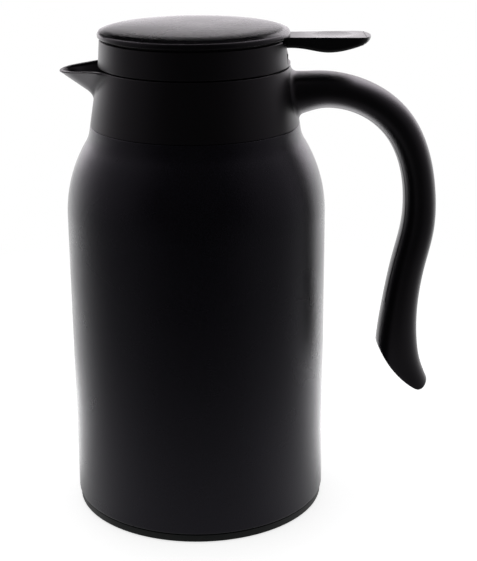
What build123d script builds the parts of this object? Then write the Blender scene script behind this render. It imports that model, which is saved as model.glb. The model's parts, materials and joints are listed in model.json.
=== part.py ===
from build123d import *
import os
from math import acos, atan, cos, radians, sin, sqrt, tan

# Vacuum carafe with a flip lid: a double-walled steel flask, a moulded collar that carries the
# spout and an open-ended handle, and a screw-in stopper with a sprung lid worked by a thumb lever.
# Millimetres, +Z up. The origin is the centre of the foot's underside. The handle and the lever
# point to +X and the spout to -X.

# ---------------------------------------------------------------- driving dimensions
# steel flask
body_r = 63.0               # outside of the straight wall
steel = 0.6                 # sheet thickness of both walls
vacuum_gap = 5.0            # between the two walls
shell_z = 4.4               # lower edge of the outer wall
shell_edge_r = 1.2          # rounding of that edge
shell_lip = 3.6             # width of the lip turned in at the bottom
seam_z = 193.6              # joint between the steel and the collar
shoulder_r = 67.0           # arc of the shoulder
shoulder_meet = 6.5         # how far under the seam that arc meets the neck cone
shoulder_blend_r = 16.0
shelf_edge_r = 1.0          # rounding where the steel turns in under the collar
neck_h = 12.4               # steel neck above the seam
neck_gap = 1.9              # vacuum gap inside the neck
neck_blend_r = 5.0
inner_corner_r = 14.0       # inside of the flask, at its floor
recess_gap = 0.6            # recess inside the turned-in lip
bottom_recess = 7.5         # how far the bottom plate is pushed up inside the foot
seal_dimple_r = 7.0
seal_dimple = 2.0
seal_hole_r = 1.5
seal_bead_r = 3.6
seal_bead_t = 0.8
getter_r = 9.0
getter_t = 1.6
getter_offset = 30.0        # from the axis

# foot
foot_z = 0.4                # underside of the cover; the pad stands this much proud
foot_inset = 0.5            # cover inside the steel wall
foot_draft = 0.3
foot_floor = 2.6
foot_rim = 3.0
spigot_h = 4.2              # ring that plugs into the recess of the bottom plate
spigot_t = 1.6
pad_width = 7.0
pad_inset = 9.0             # pad's outer edge inside the cover's edge
pad_sink = 1.2              # groove that holds the pad

# collar
collar_h = 27.5
cone_top_r = 45.8
cone_flare = 4.6            # how much wider the collar is at the seam
neck_inset = 4.3            # collar's top radius minus the steel neck's
throat_step = 2.4           # collar's throat outside the flask's mouth
edge_break = 0.5            # small bevels that make the seam lines
sleeve_gap = 0.3
neck_ring_t = 1.8
neck_ring_h = 9.0
gasket_t = 1.2
cavity_wall = 2.4           # collar's outer skin beside its moulding pocket
sleeve_t = 1.6
pocket_h = 10.0

# spout
spout_reach = 18.9          # tip beyond the collar's rim
spout_tip_r = 13.4          # rounding of the lip seen from above
spout_flare = 25.0          # degrees, each flank
spout_slope = 36.0          # degrees, underside
spout_drop = 2.2            # lip's tip under the collar's top
spout_tilt = 4.5            # degrees the lip rises towards the collar
spout_wall = 1.9
spout_toe_r = 5.0
spout_sink = 1.5            # the beak's lowest point inside the collar's rim radius
spout_blend_r = 3.0
channel_reach = 6.0         # cutter of the channel inside the throat
channel_depth = 10.4        # channel's floor under the collar's top, at the throat

# handle: stations along the grip, from the root outwards
# (out from the collar, up from the root, thickness, width)
root_rise = 0.25            # handle's middle above the collar's middle
root_clear = 4.1            # what the handle's root leaves of the collar's height
root_waist = 3.0            # how much thinner the grip is where it leaves the collar
handle_stations = [
    (-4.5, -0.2, collar_h - root_clear, 30.0),
    (1.7, 0.3, collar_h - root_clear - root_waist, 27.0),
    (12.1, 1.6, 17.8, 24.4),
    (21.0, 1.0, 17.0, 23.2),
    (36.8, -4.5, 16.5, 22.6),
    (49.7, -15.5, 16.3, 22.6),
    (57.4, -30.3, 15.8, 22.8),
    (61.0, -48.6, 15.9, 23.0),
    (60.7, -66.7, 16.7, 23.2),
    (56.7, -85.5, 17.0, 23.4),
    (53.3, -106.4, 18.0, 23.8),
    (52.1, -128.6, 21.2, 24.2),
    (54.1, -140.2, 23.2, 24.3),
    (59.4, -154.0, 26.0, 24.4),
]
handle_blend_r = 2.2
heel = (40.4, -124.0)       # start of the slanted end, measured like the stations
toe = (63.2, -150.6)        # where its rounded tip begins
toe_top = (68.4, -146.9)    # and where it runs into the grip's back
end_bulge = 2.6             # how far the slanted end stands out of a straight cut
cover_first = 2             # stations between which the grip is hollow
cover_last = 10
cover_w = 11.0
cover_t = 2.4
cover_ledge = 1.2
cover_gap = 0.15
grip_wall = 3.4

# stopper
seam_gap = 0.4              # between the collar's rim and the stopper's ring
ring_h = 12.95
ring_taper = 0.95
ring_wall = 2.6
ring_floor = 2.1
thread_room = 1.5           # radial room for the screw threads
skirt_t = 2.4
deck_t = 2.1
plug_play = 1.4             # plug inside the steel mouth
plug_wall = 2.0
plug_h = 11.5
pour_r = 12.0               # bore of the pouring tube
pour_wall = 2.0
window_w = 26.0
window_h = 8.8
cup_floor = 2.0
cup_rib_t = 1.2
cup_rib_h = 2.0
foam_gap = 0.3
seal_squeeze = 0.2          # seal's flange above the steel lip
seal_t = 2.1
seal_sleeve = 3.6
seal_play = 0.3
face_gap = 0.1              # between flat faces that turn on each other
seal_fit = 0.08             # seal's bore on the plug
seal_fin = 0.9              # height of one flank of a sealing fin

# hinge
pin_r = 1.5
pin_inset = 6.25            # pin inside the ring's outside
pin_drop = 3.2              # pin under the ring's top
pin_fit = 0.05
barrel_r = 2.9
lever_w = 22.6              # neck and barrel of the lever
hinge_gap = 0.5             # each side of the barrel
ear_t = 3.0
ear_wall = 1.2
block_sink = 0.8            # hinge block's back inside the ring's outside
notch_floor = 1.1           # band of the ring that is left under the notch
hinge_block_h = 4.4
relief_w = 34.0
relief = 0.9                # ring's top lowered behind, where the lid's rim dips
spring_wire_r = 0.45
spring_coils = 5
spring_pitch = 1.2
spring_r = 2.1              # mean radius of the coil
spring_slot = 9.0
spring_leg = 5.0            # leg that stands in the hinge block
spring_arm = 2.8            # leg under the lid
spring_arm_turn = 120.0     # degrees from +X where that leg leaves the coil
spring_room = 3.8           # clearance for the leg, outwards from the pin

# lid
lid_gap = 1.1               # between the ring and the flip cap
cap_inset = 0.1
cap_side = 3.4
cap_dome = 0.8
cap_round_r = 1.9
cap_t = 2.0
cap_rim = 2.3
lever_sink = 0.2            # lever's top under the cap's rim
# (beyond the cap's edge, thickness) along the lever's underside
lever_stations = [
    (1.0, 5.5),
    (8.3, 6.25),
    (16.3, 7.45),
    (20.4, 7.7),
    (24.4, 7.3),
    (31.3, 5.5),
    (38.0, 2.6),
]
lever_end_r = 20.0          # rounding of the lever's end seen from above
lever_corner_r = 6.0
lever_round = 1.8
dish_out = 19.8             # middle of the thumb dish beyond the cap's edge
dish_r = 10.2
dish_depth = 0.9
tang_in = 26.0              # how far the lever reaches under the cap
tang_w = 18.0
tang_t = 1.9
liner_inset = 1.1           # liner inside the ring's bore
liner_wall = 1.6
liner_floor = 1.4
liner_room = 4.05           # liner is open round the hinge, from this far inside the pin
liner_side = 0.8            # and this far beside the hinge's ears
lid_seal_t = 2.0
lid_seal_over = 2.5         # seal beyond the pouring tube
lid_seal_gap = 0.3
stem_r = 4.0
stem_head_r = 5.2
stem_head_t = 0.8

# ---------------------------------------------------------------- places worked out from them
collar_top = seam_z + collar_h
cone_bottom_r = cone_top_r + cone_flare
cone_slope = cone_flare / collar_h
cone_tilt = atan(cone_slope)
root_z = seam_z + collar_h / 2 + root_rise
neck_r = cone_top_r - neck_inset
mouth_r = neck_r - 2 * steel - neck_gap
neck_top = seam_z + neck_h
lip_z = neck_top + steel
gasket_z = lip_z + gasket_t
throat_r = mouth_r + throat_step
ring_z = collar_top + seam_gap
ring_top = ring_z + ring_h
ring_r = cone_top_r
ring_bore = ring_r - ring_taper - ring_wall
skirt_r = throat_r - thread_room
skirt_z = lip_z + seal_squeeze + seal_t + face_gap
deck_top = skirt_z + deck_t
plug_r = mouth_r - plug_play
pin_x = ring_r - pin_inset
pin_z = ring_top - pin_drop
spring_len = spring_pitch * (spring_coils + spring_arm_turn / 360)
cap_z = ring_top + lid_gap
cap_r = ring_r - cap_inset
lever_top = cap_z - lever_sink


def cone_r(z):
    """Outside radius of the neck cone at a height."""
    return cone_bottom_r - (z - seam_z) * cone_slope


def save(piece, name):
    piece.part.label = name
    export_step(piece.part, f"parts/{name}.step")


os.makedirs("parts", exist_ok=True)

# ---------------------------------------------------------------- steel flask
shoulder_x = body_r - shoulder_r
shoulder_drop = body_r - cone_r(seam_z - shoulder_meet)
shoulder_z = seam_z - shoulder_meet - sqrt(2 * shoulder_r * shoulder_drop - shoulder_drop**2)


def shoulder_arc(inset, end_z):
    """The shoulder's arc, `inset` inside the steel's outside, from the straight wall up to end_z."""
    radius = shoulder_r - inset
    half_turn = acos((end_z - shoulder_z) / radius) / 2 + radians(45)
    start = (shoulder_x + radius, shoulder_z)
    middle = (shoulder_x + radius * sin(half_turn), shoulder_z + radius * cos(half_turn))
    end = (shoulder_x + sqrt(radius**2 - (end_z - shoulder_z) ** 2), end_z)
    return ThreePointArc(start, middle, end)


def meet_height(inset):
    """Height where the inset shoulder arc crosses the inset neck cone."""
    side = cone_bottom_r + seam_z * cone_slope - inset / cos(cone_tilt) - shoulder_x
    a = cone_slope**2 + 1
    b = side * cone_slope + shoulder_z
    c = side**2 + shoulder_z**2 - (shoulder_r - inset) ** 2
    return (b + sqrt(b**2 - a * c)) / a


def outer_section(inset, floor_z):
    """Half section of the outer wall's form, `inset` inside its outside surface."""
    cone_inset = inset / cos(cone_tilt)
    meet_z = meet_height(inset)
    shelf_z = seam_z - inset
    shelf_r = cone_r(shelf_z) - cone_inset
    with BuildSketch(Plane.XZ) as section:
        with BuildLine():
            arc = shoulder_arc(inset, meet_z)
            Polyline(arc @ 0, (body_r - inset, floor_z), (0, floor_z), (0, neck_top),
                     (neck_r - inset, neck_top), (neck_r - inset, shelf_z), (shelf_r, shelf_z), arc @ 1)
        make_face()
        fillet(section.vertices().sort_by_distance(arc @ 1)[0], shoulder_blend_r + inset)
        fillet(section.vertices().sort_by_distance((shelf_r, shelf_z))[0], shelf_edge_r)
    return section.sketch


def inner_section(inset, floor_z, neck_radius, top_z):
    """Half section of the inner wall's form: the shoulder runs straight into the neck."""
    end_z = shoulder_z + sqrt((shoulder_r - inset) ** 2 - (neck_radius - shoulder_x) ** 2)
    floor_corner = (body_r - inset, floor_z)
    with BuildSketch(Plane.XZ) as section:
        with BuildLine():
            arc = shoulder_arc(inset, end_z)
            Polyline(arc @ 0, floor_corner, (0, floor_z), (0, top_z), (neck_radius, top_z), arc @ 1)
        make_face()
        fillet(section.vertices().sort_by_distance(arc @ 1)[0], neck_blend_r)
        fillet(section.vertices().sort_by_distance(floor_corner)[0], inner_corner_r - inset + steel)
    return section.sketch


def ring_section(*corners):
    """Half section of a turned piece from its corners (radius, height)."""
    with BuildSketch(Plane.XZ) as section:
        with BuildLine():
            Polyline(*corners, close=True)
        make_face()
    return section.sketch


with BuildPart() as outer_shell:
    revolve(outer_section(0, shell_z), axis=Axis.Z)
    fillet(outer_shell.edges().group_by(Axis.Z)[0], shell_edge_r)
    revolve(outer_section(steel, shell_z + steel), axis=Axis.Z, mode=Mode.SUBTRACT)
    with BuildSketch(Plane.XY.offset(shell_z)):
        Circle(body_r - shell_lip)
    extrude(amount=2 * steel, mode=Mode.SUBTRACT)
save(outer_shell, "outer_shell")

plate_z = shell_z + steel
plate_top = plate_z + bottom_recess
inner_z = plate_top + steel + vacuum_gap
with BuildPart() as inner_flask:
    neck_outside = mouth_r + steel
    revolve(inner_section(steel + vacuum_gap, inner_z, neck_outside, neck_top), axis=Axis.Z)
    with BuildSketch(Plane.XY.offset(neck_top)):
        Circle(neck_r)
    extrude(amount=steel)
    revolve(inner_section(2 * steel + vacuum_gap, inner_z + steel, mouth_r, lip_z), axis=Axis.Z,
            mode=Mode.SUBTRACT)
save(inner_flask, "inner_flask")

recess_r = body_r - shell_lip - recess_gap
dimple_in = seal_dimple_r - seal_dimple
with BuildPart() as bottom_plate:
    sheet_r = body_r - steel - face_gap
    revolve(ring_section((sheet_r, plate_z), (recess_r, plate_z), (recess_r, plate_top),
                         (seal_dimple_r, plate_top), (dimple_in, plate_top - seal_dimple),
                         (seal_hole_r, plate_top - seal_dimple),
                         (seal_hole_r, plate_top - seal_dimple + steel),
                         (dimple_in, plate_top - seal_dimple + steel), (seal_dimple_r, plate_top + steel),
                         (recess_r + steel, plate_top + steel), (recess_r + steel, plate_z + steel),
                         (sheet_r, plate_z + steel)), axis=Axis.Z)
    upper_corner = bottom_plate.edges().filter_by(GeomType.CIRCLE).group_by(Axis.Z)[-1]
    fillet(upper_corner.sort_by(SortBy.RADIUS)[-1], 2 * steel)
save(bottom_plate, "bottom_plate")

with BuildPart() as vacuum_seal:
    bead_z = plate_top - seal_dimple
    with BuildSketch(Plane.XY.offset(bead_z)):
        Circle(seal_bead_r)
    extrude(amount=-seal_bead_t, taper=30)
    with BuildSketch(Plane.XY.offset(bead_z)):
        Circle(seal_hole_r)
    extrude(amount=steel)
save(vacuum_seal, "vacuum_seal")

with BuildPart() as getter:
    with BuildSketch(Plane.XY.offset(plate_top + steel)):
        with Locations((getter_offset, 0)):
            Circle(getter_r)
    extrude(amount=getter_t)
    chamfer(getter.edges().group_by(Axis.Z)[-1], getter_t / 4)
    with BuildSketch(Plane.XY.offset(plate_top + steel + getter_t)):
        with Locations((getter_offset, 0)):
            Circle(getter_r - getter_t)
    extrude(amount=-getter_t / 2, mode=Mode.SUBTRACT)
save(getter, "getter")

# ---------------------------------------------------------------- foot
cover_r = body_r - foot_inset
pad_out = cover_r - pad_inset
pad_in = pad_out - pad_width
with BuildPart() as base_cover:
    floor_top = foot_z + foot_floor
    rim_top = shell_z - face_gap
    spigot_r = recess_r - sleeve_gap
    revolve(ring_section((0, foot_z), (cover_r - foot_draft, foot_z), (cover_r, rim_top),
                         (cover_r - foot_rim, rim_top), (cover_r - foot_rim, floor_top), (0, floor_top)),
            axis=Axis.Z)
    with BuildSketch(Plane.XY.offset(floor_top)):
        Circle(spigot_r)
        Circle(spigot_r - spigot_t, mode=Mode.SUBTRACT)
    extrude(amount=rim_top + spigot_h - floor_top)
    with BuildSketch(Plane.XY.offset(foot_z)):
        Circle(pad_out)
        Circle(pad_in, mode=Mode.SUBTRACT)
    extrude(amount=pad_sink, mode=Mode.SUBTRACT)
    rim_edges = base_cover.edges().filter_by(GeomType.CIRCLE).group_by(Axis.Z)[0]
    fillet(rim_edges.sort_by(SortBy.RADIUS)[-1], edge_break)
save(base_cover, "base_cover")

with BuildPart() as foot_pad:
    with BuildSketch():
        Circle(pad_out - face_gap)
        Circle(pad_in + face_gap, mode=Mode.SUBTRACT)
    extrude(amount=foot_z + pad_sink)
    fillet(foot_pad.edges().group_by(Axis.Z)[0], foot_z / 2)
save(foot_pad, "foot_pad")

# ---------------------------------------------------------------- neck fittings
neck_ring_r = neck_r + neck_ring_t
with BuildPart() as neck_ring:
    with BuildSketch(Plane.XY.offset(seam_z + face_gap)):
        Circle(neck_ring_r)
        Circle(neck_r + face_gap, mode=Mode.SUBTRACT)
    extrude(amount=neck_ring_h)
    outer_edges = neck_ring.edges().filter_by(GeomType.CIRCLE).sort_by(SortBy.RADIUS)[-2:]
    chamfer(outer_edges, edge_break)
save(neck_ring, "neck_ring")

with BuildPart() as neck_gasket:
    with BuildSketch(Plane.XY.offset(lip_z)):
        Circle(neck_r)
        Circle(throat_r, mode=Mode.SUBTRACT)
    extrude(amount=gasket_t)
save(neck_gasket, "neck_gasket")


# ---------------------------------------------------------------- spout
lip_tip = (-(cone_top_r + spout_reach), collar_top - spout_drop)
toe_z = lip_tip[1] - (spout_reach + spout_sink) * tan(radians(spout_slope))
channel_z = collar_top - channel_depth


def spout_plan(height, inset, back):
    """Level cut through the beak: a rounded tip and two flared flanks."""
    grow = (height - toe_z) / (lip_tip[1] - toe_z)
    tip_r = spout_toe_r + (spout_tip_r - spout_toe_r) * grow - inset
    tip_x = lip_tip[0] + (lip_tip[1] - height) / tan(radians(spout_slope)) + inset
    flare = radians(spout_flare)
    flank = (tip_x + tip_r * (1 - sin(flare)), tip_r * cos(flare))
    back_y = flank[1] + (back - flank[0]) * tan(flare)
    with BuildSketch(Plane.XY.offset(height)) as plan:
        with BuildLine():
            ThreePointArc((flank[0], -flank[1]), (tip_x, 0), flank)
            Polyline(flank, (back, back_y), (back, -back_y), (flank[0], -flank[1]))
        make_face()
    return plan.sketch


with BuildPart() as beak:
    beak_back = -(throat_r - spout_wall)
    loft([spout_plan(toe_z, 0, beak_back), spout_plan(collar_top, 0, beak_back)], ruled=True)

with BuildPart() as lip_trim:
    rise = tan(radians(spout_tilt))
    with BuildSketch(Plane.XZ):
        with BuildLine():
            far_x = lip_tip[0] - spout_reach
            Polyline((far_x, lip_tip[1] - spout_reach * rise), (0, lip_tip[1] - lip_tip[0] * rise),
                     (0, collar_top + ring_h), (far_x, collar_top + ring_h), close=True)
        make_face()
    extrude(amount=cone_bottom_r, both=True)
    revolve(ring_section((0, seam_z), (cone_bottom_r, seam_z), (cone_top_r, collar_top),
                         (cone_top_r, collar_top + 2 * ring_h), (0, collar_top + 2 * ring_h)),
            axis=Axis.Z, mode=Mode.SUBTRACT)

with BuildPart() as channel:
    channel_back = -(throat_r - channel_reach)
    loft([spout_plan(channel_z, spout_wall, channel_back),
          spout_plan(collar_top + seam_gap, spout_wall, channel_back)], ruled=True)

# ---------------------------------------------------------------- handle
root = Vector(cone_r(root_z), 0, root_z)
spine_points = [root + Vector(out, 0, up) for out, up, _, _ in handle_stations]
spine = Edge.make_spline(spine_points)
spine_along = [spine.tangent_at(point) for point in spine_points]


def grip_side(first, last, share, extra):
    """Points beside the grip's spine: share of the thickness plus extra, outwards positive."""
    side = []
    for station in range(first, last + 1):
        along = spine_along[station]
        across = Vector(-along.Z, 0, along.X)
        half = handle_stations[station][2] / 2
        point = spine_points[station] + across * (share * half + extra)
        side.append((point.X, point.Z))
    return side


with BuildPart() as grip:
    for station, point in enumerate(spine_points):
        thick, wide = handle_stations[station][2:]
        with BuildSketch(Plane(origin=point, x_dir=(0, 1, 0), z_dir=spine_along[station])):
            Ellipse(wide / 2, thick / 2)
    loft()
    cut_heel = (root.X + heel[0], root.Z + heel[1])
    cut_toe = (root.X + toe[0], root.Z + toe[1])
    cut_top = (root.X + toe_top[0], root.Z + toe_top[1])
    away = body_r
    with BuildSketch(Plane.XZ):
        with BuildLine():
            slant = SagittaArc(cut_heel, cut_toe, -end_bulge)
            TangentArc(cut_toe, cut_top, tangent=slant % 1)
            Polyline(cut_top, (cut_top[0] + away, cut_top[1] + away),
                     (cut_top[0] + away, cut_top[1] - away), (cut_heel[0] - away, cut_top[1] - away),
                     (cut_heel[0] - away, cut_heel[1] + away), cut_heel)
        make_face()
    extrude(amount=away, both=True, mode=Mode.SUBTRACT)


# The grip is hollow along its straight part, and a strip on the finger side closes it.
def grip_band(half_w, outer_share, outer_extra, inner_extra):
    """Strip along the grip, between two curves of the side view that follow its thickness."""
    outer = grip_side(cover_first, cover_last, outer_share, outer_extra)
    inner = grip_side(cover_first, cover_last, -1, inner_extra)
    with BuildPart() as band:
        with BuildSketch(Plane.XZ.offset(-half_w)):
            with BuildLine():
                Spline(*outer)
                Line(outer[-1], inner[-1])
                Spline(*inner)
                Line(inner[0], outer[0])
            make_face()
        extrude(amount=2 * half_w)
    return band.part


with BuildPart() as grip_core:
    add(grip_band(cover_w / 2, -1, cover_t, -cover_t))
    add(grip_band(cover_w / 2 - cover_ledge, 1, -grip_wall, -cover_t))

with BuildPart() as handle_cover:
    add(grip_band(cover_w / 2 - cover_gap, -1, cover_t - cover_gap, -cover_t))
    add(grip.part, mode=Mode.INTERSECT)
save(handle_cover, "handle_cover")

# ---------------------------------------------------------------- collar
sleeve_r = neck_ring_r + sleeve_gap
pocket_in = sleeve_r + sleeve_t
pocket_top = seam_z + pocket_h
with BuildPart() as collar:
    revolve(ring_section((0, seam_z + face_gap), (cone_bottom_r - face_gap, seam_z + face_gap),
                         (cone_top_r, collar_top), (0, collar_top)), axis=Axis.Z)
    add(grip.part)
    fillet(collar.edges(Select.NEW), handle_blend_r)
    add(beak.part)
    joint_edges = collar.edges(Select.NEW).filter_by(lambda edge: edge.center().Z < collar_top - face_gap)
    fillet(joint_edges, spout_blend_r)
    add(lip_trim.part, mode=Mode.SUBTRACT)
    with BuildSketch(Plane.XY.offset(collar_top)):
        Circle(throat_r)
    extrude(amount=gasket_z - collar_top, mode=Mode.SUBTRACT)
    with BuildSketch(Plane.XY.offset(seam_z)):
        Circle(sleeve_r)
    extrude(amount=gasket_z - seam_z, mode=Mode.SUBTRACT)
    revolve(ring_section((pocket_in, seam_z), (cone_bottom_r - cavity_wall, seam_z),
                         (cone_r(pocket_top) - cavity_wall, pocket_top), (pocket_in, pocket_top)),
            axis=Axis.Z, mode=Mode.SUBTRACT)
    revolve(ring_section((cone_top_r - edge_break, collar_top), (cone_top_r + edge_break, collar_top),
                         (cone_top_r + edge_break, collar_top - edge_break),
                         (cone_r(collar_top - edge_break), collar_top - edge_break)),
            axis=Axis.Z, mode=Mode.SUBTRACT)
    add(channel.part, mode=Mode.SUBTRACT)
    add(grip_core.part, mode=Mode.SUBTRACT)
save(collar, "collar")

# ---------------------------------------------------------------- stopper
plug_z = skirt_z - plug_h
ledge_z = ring_z + ring_floor
liner_top = lever_top - tang_t - face_gap
liner_z = liner_top - liner_floor
seal_z = liner_z - lid_seal_t
pour_top = seal_z - lid_seal_gap
tube_r = pour_r + pour_wall
ring_top_r = ring_r - ring_taper
notch_w = lever_w + 2 * hinge_gap
notch_z = ring_z + notch_floor
ear_r = pin_r + ear_wall


def ring_out(z):
    """Outside radius of the stopper's ring at a height."""
    return ring_r - (z - ring_z) * ring_taper / ring_h


with BuildPart() as hinge_block:
    block_top = ledge_z + hinge_block_h
    block_in = pin_x - spring_r - spring_wire_r
    with BuildSketch(Plane.XZ):
        with BuildLine():
            Polyline((block_in, notch_z - edge_break), (ring_r, notch_z - edge_break),
                     (ring_r, block_top - pin_r), (pin_x + pin_r, block_top), (block_in, block_top),
                     close=True)
        make_face()
    extrude(amount=lever_w / 2, both=True)
    revolve(ring_section((0, ring_z), (ring_r - block_sink, ring_z),
                         (ring_top_r - block_sink, ring_top), (0, ring_top)), axis=Axis.Z,
            mode=Mode.INTERSECT)

with BuildPart() as stopper_body:
    revolve(ring_section((pour_r, plug_z), (tube_r, plug_z), (tube_r, skirt_z),
                         (plug_r - plug_wall, skirt_z), (plug_r - plug_wall, plug_z), (plug_r, plug_z),
                         (plug_r, skirt_z), (skirt_r, skirt_z), (skirt_r, ring_z),
                         (ring_r - edge_break, ring_z),
                         (ring_out(ring_z + edge_break), ring_z + edge_break), (ring_top_r, ring_top),
                     (ring_bore, ring_top), (ring_bore, ledge_z),
                         (skirt_r - skirt_t, ledge_z), (skirt_r - skirt_t, deck_top), (tube_r, deck_top),
                         (tube_r, pour_top), (pour_r, pour_top)), axis=Axis.Z)
    top_edges = stopper_body.edges().filter_by(GeomType.CIRCLE).group_by(Axis.Z)[-1]
    fillet(top_edges, edge_break)
    with Locations((-skirt_r, 0, deck_top + window_h / 2)):
        Box(3 * skirt_t, window_w, window_h, mode=Mode.SUBTRACT)
    with Locations((pin_x + body_r / 2 - ear_r - hinge_gap, 0, notch_z + ring_h / 2)):
        Box(body_r, notch_w, ring_h, mode=Mode.SUBTRACT)
    for side in (-1, 1):
        with BuildSketch(Plane.XZ.offset(side * notch_w / 2)):
            with Locations((pin_x, pin_z)):
                Circle(ear_r)
            with Locations((pin_x, (ledge_z - ring_floor / 2 + pin_z) / 2)):
                Rectangle(2 * ear_r, pin_z - ledge_z + ring_floor / 2)
        extrude(amount=side * ear_t)
    with Locations((pin_x, 0, ring_top)):
        Box(body_r / 2, relief_w, 2 * relief, mode=Mode.SUBTRACT)
    add(hinge_block.part)
    with Locations(Location((pin_x, 0, pin_z), (90, 0, 0))):
        Cylinder(pin_r + pin_fit, notch_w + 2 * ear_t + 2 * hinge_gap, mode=Mode.SUBTRACT)
    with Locations((pin_x + spring_r, (spring_len + spring_wire_r) / 2, block_top)):
        Box(4 * spring_wire_r, 4 * spring_wire_r, 2 * spring_leg, mode=Mode.SUBTRACT)
save(stopper_body, "stopper_body")

with BuildPart() as stopper_seal:
    seal_floor = lip_z + seal_squeeze
    seal_in = plug_r + seal_fit
    fin_r = mouth_r - seal_play
    fin_root = (seal_in + fin_r) / 2
    flange_r = throat_r - 2 * seal_play
    revolve(ring_section((seal_in, seal_floor - seal_sleeve), (fin_root, seal_floor - seal_sleeve),
                         (fin_r, seal_floor - 3 * seal_fin), (fin_root, seal_floor - 2 * seal_fin),
                         (fin_r, seal_floor - seal_fin), (fin_root, seal_floor),
                         (flange_r, seal_floor), (flange_r, seal_floor + seal_t),
                         (seal_in, seal_floor + seal_t)), axis=Axis.Z)
save(stopper_seal, "stopper_seal")

foam_in = tube_r + cup_rib_t + foam_gap
foam_out = plug_r - plug_wall - cup_rib_t - foam_gap
with BuildPart() as plug_cup:
    rib_top = plug_z + cup_rib_h
    rib_in = tube_r + face_gap
    rib_out = plug_r - plug_wall - face_gap
    revolve(ring_section((pour_r, plug_z - cup_floor), (plug_r - edge_break, plug_z - cup_floor),
                         (plug_r, plug_z - cup_floor + edge_break), (plug_r, plug_z), (rib_out, plug_z),
                         (rib_out, rib_top), (rib_out - cup_rib_t, rib_top),
                         (rib_out - cup_rib_t, plug_z), (rib_in + cup_rib_t, plug_z),
                         (rib_in + cup_rib_t, rib_top), (rib_in, rib_top), (rib_in, plug_z),
                         (pour_r, plug_z)), axis=Axis.Z)
save(plug_cup, "plug_cup")

with BuildPart() as plug_insulation:
    with BuildSketch(Plane.XY.offset(plug_z)):
        Circle(foam_out)
        Circle(foam_in, mode=Mode.SUBTRACT)
    extrude(amount=plug_h - foam_gap)
save(plug_insulation, "plug_insulation")

# ---------------------------------------------------------------- hinge
pin_place = Location((pin_x, 0, pin_z), (90, 0, 0))
with BuildPart() as hinge_pin:
    with Locations(pin_place):
        Cylinder(pin_r, notch_w + 2 * ear_t - 2 * edge_break)
    chamfer(hinge_pin.edges().filter_by(GeomType.CIRCLE), pin_r / 5)
save(hinge_pin, "hinge_pin")

with BuildPart() as return_spring:
    with BuildLine():
        coil = Helix(spring_pitch, spring_len, spring_r, direction=(0, 1, 0), mode=Mode.PRIVATE)
        coil = coil.rotate(Axis.Y, 90 - spring_arm_turn).moved(Location((pin_x, -spring_len / 2, pin_z)))
        arm = Line(coil @ 0 - (coil % 0) * spring_arm, coil @ 0)
        add(coil)
        leg = Line(coil @ 1, coil @ 1 + (coil % 1) * spring_leg)
    with BuildSketch(Plane(origin=arm @ 0, z_dir=arm % 0)):
        Circle(spring_wire_r)
    sweep()
save(return_spring, "return_spring")

# ---------------------------------------------------------------- lid
ceiling_z = cap_z + cap_side - cap_t
liner_r = ring_bore - liner_inset
tang_x = cap_r - tang_in
with BuildPart() as flip_cap:
    land_r = liner_r - 2 * liner_wall
    with BuildSketch(Plane.XZ) as cap_section:
        with BuildLine():
            top_arc = TangentArc((0, cap_z + cap_side + cap_dome), (cap_r, cap_z + cap_side),
                                 tangent=(1, 0))
            Polyline(top_arc @ 1, (cap_r, cap_z), (cap_r - cap_rim, cap_z), (cap_r - cap_rim, ceiling_z),
                     (land_r, ceiling_z))
            TangentArc((0, ceiling_z + cap_dome), (land_r, ceiling_z), tangent=(1, 0))
            Line((0, ceiling_z + cap_dome), top_arc @ 0)
        make_face()
        fillet(cap_section.vertices().sort_by_distance(top_arc @ 1)[0], cap_round_r)
    revolve(axis=Axis.Z)
    with BuildSketch(Plane.XY.offset(lever_top)):
        with Locations(((tang_x + pin_x) / 2, 0)):
            Rectangle(pin_x - tang_x, tang_w)
    extrude(amount=ceiling_z + cap_dome - lever_top)
save(flip_cap, "flip_cap")

tip_x = cap_r + lever_stations[-1][0]
lever_half = lever_w / 2


def lever_plan(inset):
    """The lever seen from above, from the pin to its rounded end."""
    end_r = lever_end_r - inset
    half = lever_half - inset
    side_x = tip_x - lever_end_r + sqrt(end_r**2 - half**2)
    with BuildSketch() as plan:
        with BuildLine():
            ThreePointArc((side_x, -half), (tip_x - inset, 0), (side_x, half))
            Polyline((side_x, half), (pin_x, half), (pin_x, -half), (side_x, -half))
        make_face()
        fillet(plan.vertices().group_by(Axis.X)[-1], lever_corner_r - inset)
    return plan.sketch


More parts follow.
